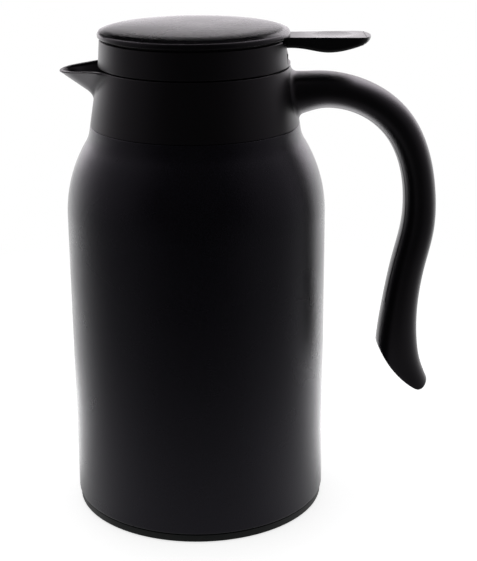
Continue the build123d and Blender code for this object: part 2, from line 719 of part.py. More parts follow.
with BuildPart() as thumb_lever:
    under = [(cap_r + out, lever_top - thick) for out, thick in lever_stations]
    with BuildSketch(Plane.XZ.offset(-lever_half)):
        with BuildLine():
            Spline(*under, tangents=((1, 0), (2, 1)))
            Polyline(under[-1], (tip_x, lever_top), (pin_x, lever_top), (pin_x, under[0][1]), under[0])
        make_face()
    extrude(amount=lever_w)
    extrude(lever_plan(0), amount=collar_top + lever_top, mode=Mode.INTERSECT)
    low_edges = thumb_lever.faces().sort_by(Axis.Z)[0].edges()
    fillet(low_edges.filter_by(lambda edge: edge.center().X > cap_r + lever_round), lever_round)
    top_edges = thumb_lever.faces().sort_by(Axis.Z)[-1].edges()
    fillet(top_edges.filter_by(lambda edge: edge.center().X > pin_x + lever_round), edge_break)
    dish_ball_r = (dish_r**2 + dish_depth**2) / (2 * dish_depth)
    with Locations((cap_r + dish_out, 0, lever_top - dish_depth + dish_ball_r)):
        Sphere(dish_ball_r, mode=Mode.SUBTRACT)
    with Locations(pin_place):
        Cylinder(barrel_r, lever_w)
    with BuildSketch(Plane.XY.offset(lever_top)):
        with Locations(((tang_x + pin_x + barrel_r) / 2, 0)):
            Rectangle(pin_x + barrel_r - tang_x, tang_w)
    extrude(amount=-tang_t)
    with Locations(pin_place):
        Cylinder(barrel_r, spring_slot, mode=Mode.SUBTRACT)
    with BuildSketch(Plane.XY.offset(pin_z)):
        with Locations((pin_x + (spring_room - barrel_r) / 2, 0)):
            Rectangle(spring_room + barrel_r, spring_slot)
    extrude(amount=-barrel_r, mode=Mode.SUBTRACT)
    with Locations(pin_place):
        Cylinder(pin_r + pin_fit, lever_w, mode=Mode.SUBTRACT)
save(thumb_lever, "thumb_lever")

with BuildPart() as lid_liner:
    hole_r = stem_r + face_gap
    revolve(ring_section((hole_r, liner_z), (liner_r - edge_break, liner_z),
                         (liner_r, liner_z + edge_break), (liner_r, ceiling_z),
                         (liner_r - liner_wall, ceiling_z), (liner_r - liner_wall, liner_top),
                         (hole_r, liner_top)), axis=Axis.Z)
    with BuildSketch(Plane.XY.offset(liner_z)):
        with Locations((pin_x - liner_room + liner_r / 2, 0)):
            Rectangle(liner_r, notch_w + 2 * ear_t + 2 * liner_side)
    extrude(amount=ceiling_z - liner_z, mode=Mode.SUBTRACT)
save(lid_liner, "lid_liner")

with BuildPart() as lid_seal:
    head_z = liner_top + stem_head_t
    seal_r = tube_r + lid_seal_over
    revolve(ring_section((0, seal_z), (seal_r - edge_break, seal_z), (seal_r, seal_z + edge_break),
                         (seal_r, liner_z), (stem_r, liner_z), (stem_r, liner_top),
                         (stem_head_r, liner_top), (stem_r, head_z), (0, head_z)), axis=Axis.Z)
save(lid_seal, "lid_seal")
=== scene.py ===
# %% [markdown]
# # A vacuum carafe with a flip lid
# The carafe is a powder-coated steel flask with a black moulded collar. The collar carries the
# spout and an open-ended handle, and a screw-in stopper carries a sprung lid with a thumb lever.
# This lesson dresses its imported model: it makes the pieces that show by hand, gives every piece a
# finish, and sets up a plain studio. Sizes are in millimetres and `mm` turns them into metres.
# +Z is up, the handle points to +X, the spout to -X, and the origin is under the foot's middle.

# %% Load the frame
import json
from math import asin, atan, atan2, ceil, cos, degrees, hypot, pi, radians, sin, sqrt, tan

import bpy
from mathutils import Matrix, Vector

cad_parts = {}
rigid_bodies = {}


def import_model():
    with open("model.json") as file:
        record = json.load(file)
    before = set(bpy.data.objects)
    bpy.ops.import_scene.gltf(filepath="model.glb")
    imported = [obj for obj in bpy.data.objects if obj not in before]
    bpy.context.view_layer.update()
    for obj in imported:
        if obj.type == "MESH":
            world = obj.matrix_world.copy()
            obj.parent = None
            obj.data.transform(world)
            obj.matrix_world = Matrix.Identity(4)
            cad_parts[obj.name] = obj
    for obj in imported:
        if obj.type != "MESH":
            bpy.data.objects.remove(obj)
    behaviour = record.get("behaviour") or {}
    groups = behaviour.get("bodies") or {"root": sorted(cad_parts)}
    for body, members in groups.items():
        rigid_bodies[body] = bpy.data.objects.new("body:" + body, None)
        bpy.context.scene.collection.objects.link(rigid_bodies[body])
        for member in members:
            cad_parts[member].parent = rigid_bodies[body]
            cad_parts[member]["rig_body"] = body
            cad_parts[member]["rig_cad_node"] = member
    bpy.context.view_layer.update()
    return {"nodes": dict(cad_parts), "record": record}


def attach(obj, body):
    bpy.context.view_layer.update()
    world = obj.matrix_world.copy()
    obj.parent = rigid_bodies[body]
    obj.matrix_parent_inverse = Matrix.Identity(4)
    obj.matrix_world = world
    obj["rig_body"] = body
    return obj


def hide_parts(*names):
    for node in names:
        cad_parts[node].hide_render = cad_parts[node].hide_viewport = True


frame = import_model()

mm = 0.001

# %% [markdown]
# ## Sizes that several pieces share
# The steel, the collar, the stopper and the lid all turn about the Z axis and seat on each other,
# so the heights and radii where they meet are named once. Each piece's own sizes stand in its cell.

# %% Shared sizes
wall_r = 63.0           # straight steel wall
steel = 0.6
seam_z = 193.6          # steel meets collar
cone_bottom_r = 50.4
cone_top_r = 45.8
collar_top = 221.1
cone_slope = (cone_bottom_r - cone_top_r) / (collar_top - seam_z)
throat_r = 40.8
neck_r = 41.5
neck_top = 206.0
ledge_z = 207.8         # gasket's top, where the collar's throat ends
ring_z = 221.5          # stopper's ring
ring_top = 234.45
pin_x, pin_z = 39.55, 231.25
cap_r = 45.7
cap_z = 235.55
lever_top = 235.35


def cone_r(z):
    """Outside radius of the neck cone at a height."""
    return cone_bottom_r - (z - seam_z) * cone_slope


# %% [markdown]
# ## Working by hand in code
# An operator acts on whatever is selected, so a primitive is added with nothing else selected, and
# every later step starts by picking one object. The outline of a piece is a list of points (radius,
# height). A corner may carry a third number, its rounding, and becomes an arc: real mouldings have
# no knife edges, and the small arcs catch the light.


# %% Add, pick, modify and finish an object
weld = 0.002 * mm       # points closer than this are one


def add(primitive, name, **settings):
    """Add a primitive, name it, and apply its place, turn and scale."""
    bpy.ops.object.select_all(action="DESELECT")
    primitive(**settings)
    piece = bpy.context.active_object
    piece.name = name
    bpy.ops.object.transform_apply(location=True, rotation=True, scale=True)
    return piece


def pick(piece, mode="OBJECT"):
    """Make one object the only selected and the active one."""
    if bpy.context.mode != "OBJECT":
        bpy.ops.object.mode_set(mode="OBJECT")
    bpy.ops.object.select_all(action="DESELECT")
    piece.select_set(True)
    bpy.context.view_layer.objects.active = piece
    bpy.ops.object.mode_set(mode=mode)
    return piece


def edit(piece, selected="SELECT"):
    """Go into edit mode with the whole piece selected, or nothing."""
    pick(piece, "EDIT")
    bpy.ops.mesh.select_all(action=selected)


def apply_modifier(piece, kind, **settings):
    """Add a modifier with the given settings and apply it."""
    pick(piece)
    modifier = piece.modifiers.new(kind.title(), kind)
    for name, value in settings.items():
        setattr(modifier, name, value)
    bpy.ops.object.modifier_apply(modifier=modifier.name)


def finish_shape(piece, angle=35, turn_faces=True):
    """Merge doubles, turn the faces outwards and shade smooth up to an angle."""
    edit(piece)
    bpy.ops.mesh.remove_doubles(threshold=weld)
    if turn_faces:
        bpy.ops.mesh.normals_make_consistent(inside=False)
    pick(piece)
    bpy.ops.object.shade_smooth_by_angle(angle=radians(angle))
    print(piece.name, len(piece.data.polygons), "faces")
    return piece


# %% Arcs and rounded outlines
def arc(centre, start, end, turn=6.0):
    """Points from start to end about a centre, the short way, `turn` degrees apart."""
    first, last = start - centre, end - centre
    sweep = atan2(first.x * last.y - first.y * last.x, first.dot(last))
    steps = max(2, ceil(abs(degrees(sweep)) / turn))
    return [centre + Matrix.Rotation(sweep * k / steps, 2) @ first for k in range(steps + 1)]


def rounded(corners):
    """Outline through the corners; a corner with a third number is rounded by that radius."""
    spots = [Vector(corner[:2]) for corner in corners]
    points = []
    for index, corner in enumerate(corners):
        if len(corner) == 2:
            points.append(spots[index])
            continue
        back = (spots[index - 1] - spots[index]).normalized()
        ahead = (spots[(index + 1) % len(spots)] - spots[index]).normalized()
        half = back.angle(ahead) / 2
        reach = corner[2] / tan(half)
        centre = spots[index] + (back + ahead).normalized() * (corner[2] / sin(half))
        points += arc(centre, spots[index] + back * reach, spots[index] + ahead * reach, 15)
    return points


# %% [markdown]
# ## The lathe
# The flask, the foot, the lid and the stopper were all formed round an axis: the steel was spun or
# drawn, the plastic moulded in turned dies. So the outline is drawn as a hand would draw it, by
# extruding one vertex from point to point, and then spun. A screw modifier would do the same, but
# spin is a single step and leaves even quads, which shade cleanly.


# %% Draw an outline and spin it
def drawn(name, points, plane="XZ"):
    """One vertex extruded from point to point, in the XZ or the XY plane."""
    piece = add(bpy.ops.mesh.primitive_plane_add, name, size=mm)
    edit(piece)
    bpy.ops.mesh.select_mode(type="VERT")
    bpy.ops.mesh.merge(type="CENTER")
    here = Vector((0, 0))
    for index, point in enumerate(points):
        step = (point - here) * mm
        step = (step.x, 0, step.y) if plane == "XZ" else (step.x, step.y, 0)
        if index == 0:
            bpy.ops.transform.translate(value=step)
        else:
            bpy.ops.mesh.extrude_region_move(TRANSFORM_OT_translate={"value": step})
        here = point
    return piece


def turned(name, points, steps=192):
    """Spin a drawn outline all the way round the Z axis."""
    piece = drawn(name, points)
    bpy.ops.mesh.select_all(action="SELECT")
    bpy.ops.mesh.spin(steps=steps, angle=2 * pi, center=(0, 0, 0), axis=(0, 0, 1))
    return piece


def ring(name, corners, steps=192):
    """A turned piece with a closed section; one that reaches the axis closes there by itself."""
    points = rounded(corners)
    closing = points[:1] if corners[0][0] > 0 else []
    return finish_shape(turned(name, points + closing, steps))


# %% [markdown]
# ## The steel flask
# The outer wall is one steel shell: a straight wall, a shoulder that is an arc of 67 mm, a soft
# blend into the neck cone, a shelf under the collar, and a neck. Its lower edge turns in round the
# foot. Only the outside is drawn, and Solidify gives it the sheet's thickness inwards. The blend's
# centre is found by trial: it is as far from the shoulder's centre as both radii together.


# %% Find where a function is zero
def zero_of(function, low, high):
    """Halve the range until the place where the function changes sign is found."""
    low_sign = function(low) > 0
    for _ in range(40):
        middle = (low + high) / 2
        if (function(middle) > 0) == low_sign:
            low = middle
        else:
            high = middle
    return middle


# %% Steel body
shoulder_r, blend_r = 67.0, 16.0
shell_z, shell_edge_r = 4.4, 1.2
meet_z = seam_z - 6.5           # where the shoulder's arc would meet the cone
drop = wall_r - cone_r(meet_z)
shoulder = Vector((wall_r - shoulder_r, meet_z - sqrt(2 * shoulder_r * drop - drop**2)))
outwards = Vector((cos(atan(cone_slope)), sin(atan(cone_slope))))


def beside_cone(z):
    """Point at the blend's radius from the neck cone, level with a height on it."""
    return Vector((cone_r(z), z)) + outwards * blend_r


blend_z = zero_of(lambda z: (beside_cone(z) - shoulder).length - shoulder_r - blend_r, 170, 192)
blend = beside_cone(blend_z)
blend_start = shoulder + (blend - shoulder) * shoulder_r / (shoulder_r + blend_r)
outline = rounded([(wall_r - 3.6, shell_z), (wall_r, shell_z, shell_edge_r), (wall_r, 6.5)])
outline += [Vector((wall_r, z)) for z in range(12, 148, 8)]
outline += arc(shoulder, shoulder + Vector((shoulder_r, 0)), blend_start, 1.5)
outline += arc(blend, blend_start, blend - outwards * blend_r, 4)[1:]
outline += rounded([(cone_r(seam_z - 2), seam_z - 2), (cone_bottom_r, seam_z, 0.6), (neck_r, seam_z),
                    (neck_r, neck_top)])
steel_body = finish_shape(turned("steel_body", outline))
apply_modifier(steel_body, "SOLIDIFY", thickness=steel * mm, offset=-1)

# %% [markdown]
# ## The foot
# A moulded cover closes the bottom and plugs into the steel with a low ring. A rubber ring sits in
# a groove under it and stands 0.4 mm proud, so the carafe doesn't slide.

# %% Foot cover and foot ring
foot_z, groove_z, plate_z, rim_z = 0.4, 1.6, 3.0, 4.3
foot_cover = ring("foot_cover", [
    (0, foot_z), (46.5, foot_z), (46.5, groove_z), (53.5, groove_z), (53.5, foot_z),
    (62.2, foot_z, 0.5), (62.5, rim_z, 0.3), (59.5, rim_z), (59.5, plate_z), (58.5, plate_z),
    (58.5, 8.5), (56.9, 8.5), (56.9, plate_z), (0, plate_z)])
foot_ring = ring("foot_ring", [(46.6, 0, 0.2), (53.4, 0, 0.2), (53.4, groove_z), (46.6, groove_z)])

# %% [markdown]
# ## The lid's cap
# A shallow moulded disc: its top is a very flat dome, its edge is well rounded, and a short rim
# hides the hinge. The dome is drawn as a chain of points, because one long edge would shade flat.
# A few stations say how far it has dropped at which radius, and a cubic spline runs through them,
# as a draughtsman's bent lath would. The lever and the handle are drawn with the same helper.


# %% A smooth curve through stations
def spline(places, values):
    """Natural cubic spline through (place, value) pairs, as a function of place."""
    count = len(places)
    gaps = [after - before for before, after in zip(places, places[1:])]
    bends, shares, sides = [0.0] * count, [0.0] * count, [0.0] * count
    for i in range(1, count - 1):
        rise = (values[i + 1] - values[i]) / gaps[i] - (values[i] - values[i - 1]) / gaps[i - 1]
        whole = 2 * (gaps[i - 1] + gaps[i]) - gaps[i - 1] * shares[i - 1]
        shares[i] = gaps[i] / whole
        sides[i] = (6 * rise - gaps[i - 1] * sides[i - 1]) / whole
    for i in range(count - 2, 0, -1):
        bends[i] = sides[i] - shares[i] * bends[i + 1]

    def value_at(place):
        i = max(0, min(count - 2, sum(place >= known for known in places) - 1))
        gap, a, b = gaps[i], places[i + 1] - place, place - places[i]
        return ((bends[i] * a**3 + bends[i + 1] * b**3) / (6 * gap)
                + (values[i] / gap - bends[i] * gap / 6) * a
                + (values[i + 1] / gap - bends[i + 1] * gap / 6) * b)

    return value_at


# %% Flip cap
cap_top_z, ceiling_z = cap_z + 4.2, 236.95
edge_drop, rim_r = 3.0, cap_r - 2.3
drop_at = spline([0, 20, 30, 36, 40, 42.5, 44.3, 45.3, cap_r],
                 [0, 0.07, 0.17, 0.32, 0.58, 0.95, 1.5, 2.15, edge_drop])
dome_radii = list(range(0, 33, 4)) + [34, 36, 38, 39, 40, 41, 42, 42.8, 43.5, 44, 44.5, 45, 45.4]
flip_cap = ring("cap", [(radius, cap_top_z - drop_at(radius)) for radius in dome_radii] + [
    (cap_r, cap_top_z - edge_drop), (cap_r, cap_z, 0.3), (rim_r, cap_z, 0.3), (rim_r, ceiling_z),
    (37.95, ceiling_z), (20, 237.4), (0, 237.75)], 256)

# %% [markdown]
# ## The thumb lever
# Pressing the lever lifts the lid. From above it is a bar with a rounded end; from the side its
# underside swells and then runs thin towards the tip. So its plan is drawn and filled, extruded
# down, cut into slices, and the lower points of each slice are raised to the underside's curve.
# That curve is a spline through a few thicknesses.


# %% Blocks, bars and cuts
def softened(piece, width):
    """Bevel the sharp edges by a width, if there is one."""
    if width:
        edit(piece, "DESELECT")
        bpy.ops.mesh.edges_select_sharp(sharpness=radians(60))
        bpy.ops.mesh.bevel(offset=width * mm, segments=3, affect="EDGES")
        pick(piece)
    return piece


def block(name, low, high, round_by=0.0):
    """A cuboid between two corners, its edges bevelled."""
    low, high = Vector(low) * mm, Vector(high) * mm
    piece = add(bpy.ops.mesh.primitive_cube_add, name, size=1, location=(low + high) / 2,
                scale=high - low)
    return softened(piece, round_by)


def bar_across(name, x, z, radius, half_width, round_by=0.0):
    """A round bar along Y, its rims bevelled."""
    piece = add(bpy.ops.mesh.primitive_cylinder_add, name, vertices=64, radius=radius * mm,
                depth=2 * half_width * mm, location=(x * mm, 0, z * mm), rotation=(pi / 2, 0, 0))
    return softened(piece, round_by)


def cut(piece, cutter):
    """Take the cutter's volume out of the piece."""
    apply_modifier(piece, "BOOLEAN", object=cutter, operation="DIFFERENCE", solver="EXACT")
    bpy.data.objects.remove(cutter)


def join(piece, *others):
    """Join other pieces into this one."""
    pick(piece)
    for other in others:
        other.select_set(True)
    bpy.ops.object.join()
    return piece


def moved(piece, x=0.0, y=0.0, z=0.0, turn=0.0):
    """Move a piece in millimetres, or turn it about Z, and keep its object at the origin."""
    pick(piece)
    piece.location = (x * mm, y * mm, z * mm)
    piece.rotation_euler = (0, 0, radians(turn))
    bpy.ops.object.transform_apply(location=True, rotation=True, scale=True)
    return piece


# %% Lever plan, slices and underside
tip_x, lever_half, lever_root, end_r, corner_r = 83.7, 11.3, 9.3, 20.0, 6.0
end_centre = Vector((tip_x - end_r, 0))
corner_y = lever_half - corner_r
corner = Vector((end_centre.x + sqrt((end_r - corner_r) ** 2 - corner_y**2), corner_y))
far = end_centre + (corner - end_centre) * end_r / (end_r - corner_r)
half_plan = [Vector((pin_x, lever_root))] + arc(corner, Vector((corner.x, lever_half)), far, 10)
half_plan += arc(end_centre, far, Vector((tip_x, 0)), 3)[1:]
plan = half_plan + [Vector((point.x, -point.y)) for point in reversed(half_plan[:-1])]
thickness = spline([pin_x, 46.7, 54, 62, 66.1, 70.1, 77, tip_x],
                   [5.3, 5.1, 5.95, 7.2, 7.1, 6.5, 4.6, 2.3])
blank_depth = 10.0
thumb_lever = drawn("lever", plan, "XY")
bpy.ops.mesh.select_all(action="SELECT")
bpy.ops.mesh.edge_face_add()
bpy.ops.transform.translate(value=(0, 0, lever_top * mm))
bpy.ops.mesh.extrude_region_move(TRANSFORM_OT_translate={"value": (0, 0, -blank_depth * mm)})
for slice_x in range(41, 83, 2):
    bpy.ops.mesh.select_all(action="SELECT")
    bpy.ops.mesh.bisect(plane_co=(slice_x * mm, 0, 0), plane_no=(1, 0, 0))
pick(thumb_lever)
for vertex in thumb_lever.data.vertices:
    if vertex.co.z < (lever_top - blank_depth / 2) * mm:
        vertex.co.z = (lever_top - thickness(vertex.co.x / mm)) * mm


# %% Soften the rims
def bevel_rim(piece, on_rim, width, segments):
    """Bevel the edges whose two ends and two faces pass the test."""
    edit(piece, "DESELECT")
    bpy.ops.mesh.select_mode(type="EDGE")
    bpy.ops.mesh.edges_select_sharp(sharpness=radians(50))
    pick(piece)
    for edge in piece.data.edges:
        ends = [piece.data.vertices[index].co / mm for index in edge.vertices]
        edge.select = edge.select and on_rim(*ends)
    pick(piece, "EDIT")
    bpy.ops.mesh.bevel(offset=width * mm, segments=segments, affect="EDGES")
    pick(piece)


under_x, above_x, under_round, above_round = 42.5, 41.0, 1.7, 0.5
finish_shape(thumb_lever)
bevel_rim(thumb_lever, lambda a, b: max(a.z, b.z) < lever_top - 1 and min(a.x, b.x) > under_x,
          under_round, 5)
bevel_rim(thumb_lever, lambda a, b: min(a.z, b.z) > lever_top - 0.1 and min(a.x, b.x) > above_x,
          above_round, 2)

# %% Thumb dish
dish_r, dish_depth, dish_x, cutter_r = 10.2, 0.9, 65.5, 11.5
ball_r = (dish_r**2 + dish_depth**2) / (2 * dish_depth)
hollow = [(radius, radius**2 / (2 * ball_r) - dish_depth) for radius in (0, 2, 4, 6, 8, 9.5, cutter_r)]
dish = ring("dish_cutter", hollow + [(cutter_r, 2), (0, 2)], 64)
cut(thumb_lever, moved(dish, dish_x, z=lever_top))

# %% [markdown]
# ## The lever's hidden end
# Under the cap the lever carries two barrels for the hinge pin, with a slot between them for the
# return spring, and a flat tang that is fixed to the cap.

# %% Barrels, tang and spring slot
barrel_r, slot_half, spring_room, tang_half, tang_t = 2.9, 4.5, 3.8, 9, 1.9
cut(thumb_lever, bar_across("slot_round", pin_x, pin_z, barrel_r, slot_half))
cut(thumb_lever, block("slot_front", (pin_x - 5, -slot_half, pin_z - 4),
                       (pin_x + spring_room, slot_half, pin_z)))
barrel = bar_across("barrel", pin_x, pin_z, barrel_r, lever_half, 0.3)
cut(barrel, block("barrel_gap", (pin_x - 5, -slot_half, pin_z - 5), (pin_x + 5, slot_half, pin_z + 5)))
tang = block("tang", (19.7, -tang_half, lever_top - tang_t), (pin_x + 1, tang_half, lever_top), 0.3)
join(thumb_lever, barrel, tang)
finish_shape(thumb_lever, 40)
apply_modifier(thumb_lever, "WEIGHTED_NORMAL", keep_sharp=True)

# %% [markdown]
# ## The handle
# The handle is one moulding with the collar. Its grip follows a curve, its section is an oval that
# changes along it, and it ends in a slanted, slightly swollen cut. Extruding a circle ring by ring
# would do for the grip, but not for its ends, where each line of the surface must stop on the
# collar's cone or on the slanted cut. So a flat grid is wrapped instead: its columns go round the
# section and its rows along the curve, and a small function says where each point belongs.


# %% Wrap a grid, ease a step
def eased(value):
    """A share from 0 to 1 that starts and stops gently, held beyond both ends."""
    share = max(0.0, min(1.0, value))
    return share * share * (3 - 2 * share)


def wrapped(name, columns, rows, place):
    """Move each point of a grid to place(column, row), in millimetres."""
    piece = add(bpy.ops.mesh.primitive_grid_add, name, x_subdivisions=columns, y_subdivisions=rows,
                size=1)
    for vertex in piece.data.vertices:
        column = round((vertex.co.x + 0.5) * columns)
        row = round((vertex.co.y + 0.5) * rows)
        vertex.co = Vector(place(column, row)) * mm
    return piece


# %% The grip's curve and section
root_z = seam_z + 14
root_r = cone_r(root_z)
stations = [                # out from the root, up from it, thickness, width
    (-4.5, -0.2, 23.4, 30.0), (1.7, 0.3, 20.4, 27.0), (12.1, 1.6, 17.8, 24.4), (21.0, 1.0, 17.0, 23.2),
    (36.8, -4.5, 16.5, 22.6), (49.7, -15.5, 16.3, 22.6), (57.4, -30.3, 15.8, 22.8),
    (61.0, -48.6, 15.9, 23.0), (60.7, -66.7, 16.7, 23.2), (56.7, -85.5, 17.0, 23.4),
    (53.3, -106.4, 18.0, 23.8), (52.1, -128.6, 21.2, 24.2), (53.2, -140.2, 23.2, 24.3),
    (57.0, -154.0, 26.0, 24.4)]
along = [0.0]
for (x0, z0, _, _), (x1, z1, _, _) in zip(stations, stations[1:]):
    along.append(along[-1] + hypot(x1 - x0, z1 - z0))
out_at, up_at, thick_at, wide_at = [spline(along, list(values)) for values in zip(*stations)]


def grip_point(s, angle, grow=0.0):
    """Point of the grip at a length s and an angle round it, 0 on its back and pi on its inside."""
    x, z = root_r + out_at(s), root_z + up_at(s)
    run = Vector((out_at(s + 0.1) - out_at(s - 0.1), up_at(s + 0.1) - up_at(s - 0.1))).normalized()
    lift = (thick_at(s) / 2 + grow) * cos(angle)
    return Vector((x - run.y * lift, (wide_at(s) / 2 + grow) * sin(angle), z + run.x * lift))


# %% The slanted end
heel = Vector((root_r + 40.4, root_z - 124.0))
toe = Vector((root_r + 61.4, root_z - 149.9))
tip = Vector((root_r + 67.9, root_z - 148.4))
chord, swell = toe - heel, 2.6
slant_r = (chord.length**2 / 4 + swell**2) / (2 * swell)
inwards = Vector((-chord.y, chord.x)).normalized()
slant = (heel + toe) / 2 + inwards * (slant_r - swell)
end_line = arc(slant, heel, toe, 1)
leaving = Vector((-(toe - slant).y, (toe - slant).x)).normalized()
to_tip = tip - toe
square = Vector((-leaving.y, leaving.x))
tip_round_r = to_tip.length_squared / (2 * to_tip.dot(square))
end_line += arc(toe + square * tip_round_r, toe, tip, 5)[1:]
end_lengths = [0.0]
for before, after in zip(end_line, end_line[1:]):
    end_lengths.append(end_lengths[-1] + (after - before).length)
end_x = spline(end_lengths, [point.x for point in end_line])
end_z = spline(end_lengths, [point.y for point in end_line])
print("slanted end:", round(end_lengths[-1], 1), "mm long, tip rounding", round(tip_round_r, 2))


def end_side(x, z):
    """Signed distance from the slanted end, and the length along it of the nearest point."""
    spot, best = Vector((x, z)), (1e9, 0.0)
    line = [heel - Vector((40, 0))] + end_line + [tip + Vector((40, 40))]
    lengths = [-40.0] + end_lengths + [end_lengths[-1] + 57]
    for start, stop, length in zip(line, line[1:], lengths):
        run = stop - start
        share = max(0.0, min(1.0, (spot - start).dot(run) / run.length_squared))
        gap = spot - start - run * share
        if gap.length < abs(best[0]):
            side = 1 if run.x * gap.y - run.y * gap.x > 0 else -1
            best = (side * gap.length, length + share * run.length)
    return best


# %% [markdown]
# The columns are angles round the oval, but across the finger side they are fixed widths, so that
# the recess for the cover strip gets straight walls: a doubled column at its edge is pushed in on
# one side only. The rows start inside the collar's wall, flare out of it like a fillet, follow the
# curve, and end on the slanted cut, whose rim is rounded by a short bent step.

# %% Columns and rows of the grip
recess_half, recess_depth, blend_root, rim_step = 5.5, 1.2, 2.2, 1.3
recess_start, recess_end = along[2], along[10]
side_angles = [radians(angle) for angle in range(0, 145, 8)]
floor_widths = (recess_half, 4.2, 2.8, 1.4, 0, -1.4, -2.8, -4.2, -recess_half)
across = [(recess_half, False)] + [(y, True) for y in floor_widths] + [(-recess_half, False)]
grip_columns = [("angle", angle) for angle in side_angles] + [("width", step) for step in across]
grip_columns += [("angle", -angle) for angle in reversed(side_angles)]


def column_angle(column, s, grow=0.0):
    """Angle of a column at a length, and whether it lies in the recess."""
    kind, value = grip_columns[column]
    if kind == "angle":
        return value, False
    return pi - asin(value[0] / (wide_at(s) / 2 + grow)), value[1]


root_s = zero_of(lambda s: root_r + out_at(s) - cone_r(root_z + up_at(s)), 0, 10)
root_end, end_zone = root_s + 8.2, recess_end + 6
root_steps = (-0.8, 0, 0.03, 0.1, 0.25, 0.5, 0.85, 1.3, 1.8, 2.4, 3.2, 4.2, 5.4, 6.8)
grip_rows = [("pole", -0.8)] + [("root", step) for step in root_steps]
grip_rows += [("run", root_end), ("run", (root_end + recess_start) / 2), ("run", recess_start)]
spans = ceil((recess_end - recess_start) / 2.2)
grip_rows += [("recess", recess_start + k * (recess_end - recess_start) / spans) for k in range(spans + 1)]
grip_rows += [("run", recess_end), ("run", end_zone - 3), ("run", end_zone)]
grip_rows += [("end", share / 10) for share in range(1, 11)]
grip_rows += [("rim", share / 5) for share in range(1, 6)]
grip_rows += [("cap", share) for share in (0.15, 0.35, 0.6, 0.8, 1.0)]


# %% Where each column meets the slanted end
def rim_of(column):
    """Where a column meets the slanted end, and the end line's length there."""
    def distance(s):
        spot = grip_point(s, column_angle(column, s)[0])
        return end_side(spot.x, spot.z)[0]
    s = zero_of(distance, end_zone, along[-1] + 6)
    spot = grip_point(s, column_angle(column, s)[0])
    return s, spot, end_side(spot.x, spot.z)[1]


grip_rims = [rim_of(column) for column in range(len(grip_columns))]
end_middle = end_lengths[-1] / 2


def cap_point(column, share):
    """Point on the slanted end, a share of the way from its rim to its middle."""
    _, spot, length = grip_rims[column]
    length = length + (end_middle - length) * share
    return Vector((end_x(length), spot.y * (1 - share), end_z(length)))


# %% Place every point of the grip
def root_point(column, out):
    """Point of the grip's root, `out` from the collar's cone, flared as a fillet."""
    short = blend_root - min(blend_root, max(out, 0.0))
    flare = blend_root - sqrt(blend_root**2 - short**2)
    s = root_s + out
    spot = grip_point(s, column_angle(column, s, flare)[0], flare)
    on_cone = sqrt(cone_r(spot.z) ** 2 - spot.y**2) + out
    spot.x += (on_cone - spot.x) * (1 - eased((out - 1.5) / 6.5))
    return spot


def grip_place(column, row):
    """Place of one grid point of the grip."""
    kind, value = grip_rows[row]
    rim_s, rim_spot, _ = grip_rims[column]
    if kind == "pole":
        return (root_r + value, 0, root_z)
    if kind == "root":
        return root_point(column, value)
    if kind in ("run", "recess"):
        angle, in_recess = column_angle(column, value)
        spot = grip_point(value, angle)
        if kind == "recess" and in_recess:
            middle = grip_point(value, angle, -thick_at(value) / 2)
            spot += (Vector((middle.x, spot.y, middle.z)) - spot).normalized() * recess_depth
        return spot
    if kind == "cap":
        reach = (cap_point(column, 1) - rim_spot).length
        return cap_point(column, value + (1 - value) * rim_step / reach)
    last = rim_s - rim_step
    if kind == "end":
        s = end_zone + (last - end_zone) * value
        return grip_point(s, column_angle(column, s)[0])
    before = grip_point(last, column_angle(column, last)[0])
    after = cap_point(column, rim_step / (cap_point(column, 1) - rim_spot).length)
    return before * (1 - value) ** 2 + rim_spot * 2 * value * (1 - value) + after * value**2


grip = finish_shape(wrapped("grip", len(grip_columns) - 1, len(grip_rows) - 1, grip_place), 50)

# %% [markdown]
# The cover strip closes the hollow grip on the finger side. It is a patch of the same surface, so
# it follows the grip exactly; Solidify gives it its thickness and a bevel softens its rim.

# %% Handle cover
cover_gap, cover_t, cover_columns, cover_rows = 0.15, 1.0, 8, 80
cover_half = recess_half - cover_gap


def cover_place(column, row):
    """Place of one grid point of the cover strip."""
    s = recess_start + cover_gap + (recess_end - recess_start - 2 * cover_gap) * row / cover_rows
    y = cover_half - 2 * cover_half * column / cover_columns
    return grip_point(s, pi - asin(y / (wide_at(s) / 2)))


handle_cover = finish_shape(wrapped("handle_cover_strip", cover_columns, cover_rows, cover_place))
centre_face = handle_cover.data.polygons[cover_columns * cover_rows // 2]
middle = grip_point(along[6], 0, -thick_at(along[6]) / 2) * mm
if centre_face.normal.dot(centre_face.center - middle) < 0:
    handle_cover.data.flip_normals()
apply_modifier(handle_cover, "SOLIDIFY", thickness=cover_t * mm, offset=-1)
apply_modifier(handle_cover, "BEVEL", width=0.25 * mm, segments=2, limit_method="ANGLE",
               angle_limit=radians(50))
finish_shape(handle_cover, 50)

# %% [markdown]
# ## The collar and its spout
# The collar is a short cone, and the spout grows out of it: seen from above a rounded beak with
# flared sides, seen from the side a slope of 36 degrees under a lip that rises a little towards the
# collar. Joining a beak to a cone leaves a hard seam that is awkward to soften. So the wall is one
# wrapped grid, column by column round the axis, and where the beak is further out than the cone the
# wall goes out to it, with a smooth maximum in between, which is the moulding's fillet.

# %% The beak seen from above, at any height
spout_tip, lip_z, spout_wall, channel_depth = 65.0, 219.8, 1.9, 10.4
spout_slope, flare, lip_tilt = radians(36), radians(25), radians(4.5)
spout_reach, spout_sink = 18.9, 1.5         # tip beyond the collar's rim, slope's foot inside it
nose_least, nose_low, nose_gain = 2.0, 5.0, 8.4     # radius of the nose, and its growth up to the lip
toe_z = lip_z - (spout_reach + spout_sink) * tan(spout_slope)
channel_z = collar_top - channel_depth


